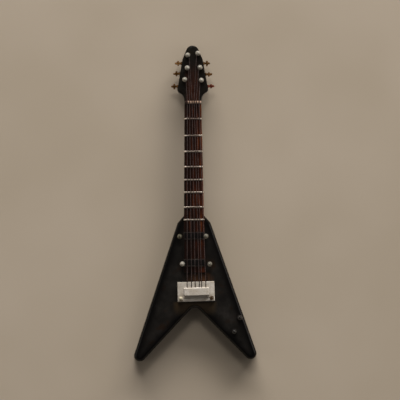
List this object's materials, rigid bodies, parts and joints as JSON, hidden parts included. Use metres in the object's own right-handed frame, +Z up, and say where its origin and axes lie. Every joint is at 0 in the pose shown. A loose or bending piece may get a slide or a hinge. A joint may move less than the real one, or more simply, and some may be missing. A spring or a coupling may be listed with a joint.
{
  "type": "toy electric guitar",
  "caption": "Miniature toy electric guitar with a V-shaped body, an arrow-shaped headstock, pinned bridge and pickups, keys and knobs that turn.",
  "frame": {"origin": "under the middle of the outline's box, on the plane of the body's back", "axes": "+Z up out of the guitar's face as it lies on its back, +Y along the neck towards the headstock, +X towards the wing with the knobs"},
  "size_m": [0.039, 0.1006, 0.0081],
  "materials": {
    "body_lacquer": "satin black lacquer over wood, lighter charcoal in the middle of the wings",
    "neck_lacquer": "satin black-brown lacquer",
    "fretboard_wood": "dark reddish-brown oiled wood",
    "fret_wire": "dull silver wire",
    "nut_bone": "pale matt",
    "string_bronze": "thin dull bronze wire",
    "pin_steel": "polished steel ball head",
    "key_brass": "worn brass",
    "key_copper": "reddish tarnished brass",
    "pickup_black": "black",
    "rim_metal": "dull metal",
    "bridge_white": "warm white, satin",
    "pin_pearl": "pearly white",
    "pin_bronze": "dark bronze",
    "knob_black": "glossy black"
  },
  "bodies": {
    "guitar": {"body": "body_lacquer", "neck": "neck_lacquer", "fretboard": "fretboard_wood", "nut": "nut_bone", "fret_1": "fret_wire", "fret_2": "fret_wire", "fret_3": "fret_wire", "fret_4": "fret_wire", "fret_5": "fret_wire", "fret_6": "fret_wire", "fret_7": "fret_wire", "fret_8": "fret_wire", "string_1": "string_bronze", "string_2": "string_bronze", "string_3": "string_bronze", "string_4": "string_bronze", "string_5": "string_bronze", "string_6": "string_bronze", "tuning_post_1": "pin_steel", "tuning_post_2": "pin_steel", "tuning_post_3": "pin_steel", "tuning_post_4": "pin_steel", "tuning_post_5": "pin_steel", "tuning_post_6": "pin_steel", "neck_pickup": "pickup_black", "bridge_pickup": "pickup_black", "neck_pickup_rim": "rim_metal", "bridge_pickup_rim": "rim_metal", "pickup_pin_1": "pin_steel", "pickup_pin_2": "pin_steel", "pickup_pin_3": "pin_steel", "pickup_pin_4": "pin_steel", "bridge_plate": "bridge_white", "bridge_bar": "bridge_white", "bridge_pin_1": "pin_pearl", "bridge_pin_2": "pin_bronze"},
    "key_1": {"tuning_key_1": "key_brass"},
    "key_2": {"tuning_key_2": "key_brass"},
    "key_3": {"tuning_key_3": "key_brass"},
    "key_4": {"tuning_key_4": "key_copper"},
    "key_5": {"tuning_key_5": "key_brass"},
    "key_6": {"tuning_key_6": "key_brass"},
    "knob_1": {"control_knob_1": "knob_black"},
    "knob_2": {"control_knob_2": "knob_black"}
  },
  "joints": [
    {"name": "key_1_turn", "type": "hinge", "parent": "guitar", "child": "key_1", "pos_m": [-0.00473, 0.03729, 0.00324], "axis": [-1, 0, 0], "continuous": true},
    {"name": "key_2_turn", "type": "hinge", "parent": "guitar", "child": "key_2", "pos_m": [-0.00401, 0.0414, 0.00285], "axis": [-1, 0, 0], "continuous": true},
    {"name": "key_3_turn", "type": "hinge", "parent": "guitar", "child": "key_3", "pos_m": [-0.00342, 0.04471, 0.00253], "axis": [-1, 0, 0], "continuous": true},
    {"name": "key_4_turn", "type": "hinge", "parent": "guitar", "child": "key_4", "pos_m": [0.00473, 0.03729, 0.00324], "axis": [1, 0, 0], "continuous": true},
    {"name": "key_5_turn", "type": "hinge", "parent": "guitar", "child": "key_5", "pos_m": [0.00406, 0.0411, 0.00287], "axis": [1, 0, 0], "continuous": true},
    {"name": "key_6_turn", "type": "hinge", "parent": "guitar", "child": "key_6", "pos_m": [0.00344, 0.04462, 0.00253], "axis": [1, 0, 0], "continuous": true},
    {"name": "knob_1_turn", "type": "hinge", "parent": "guitar", "child": "knob_1", "pos_m": [0.01424, -0.03662, 0.005], "axis": [0, 0, 1], "continuous": true},
    {"name": "knob_2_turn", "type": "hinge", "parent": "guitar", "child": "knob_2", "pos_m": [0.01249, -0.04104, 0.005], "axis": [0, 0, 1], "continuous": true}
  ]
}
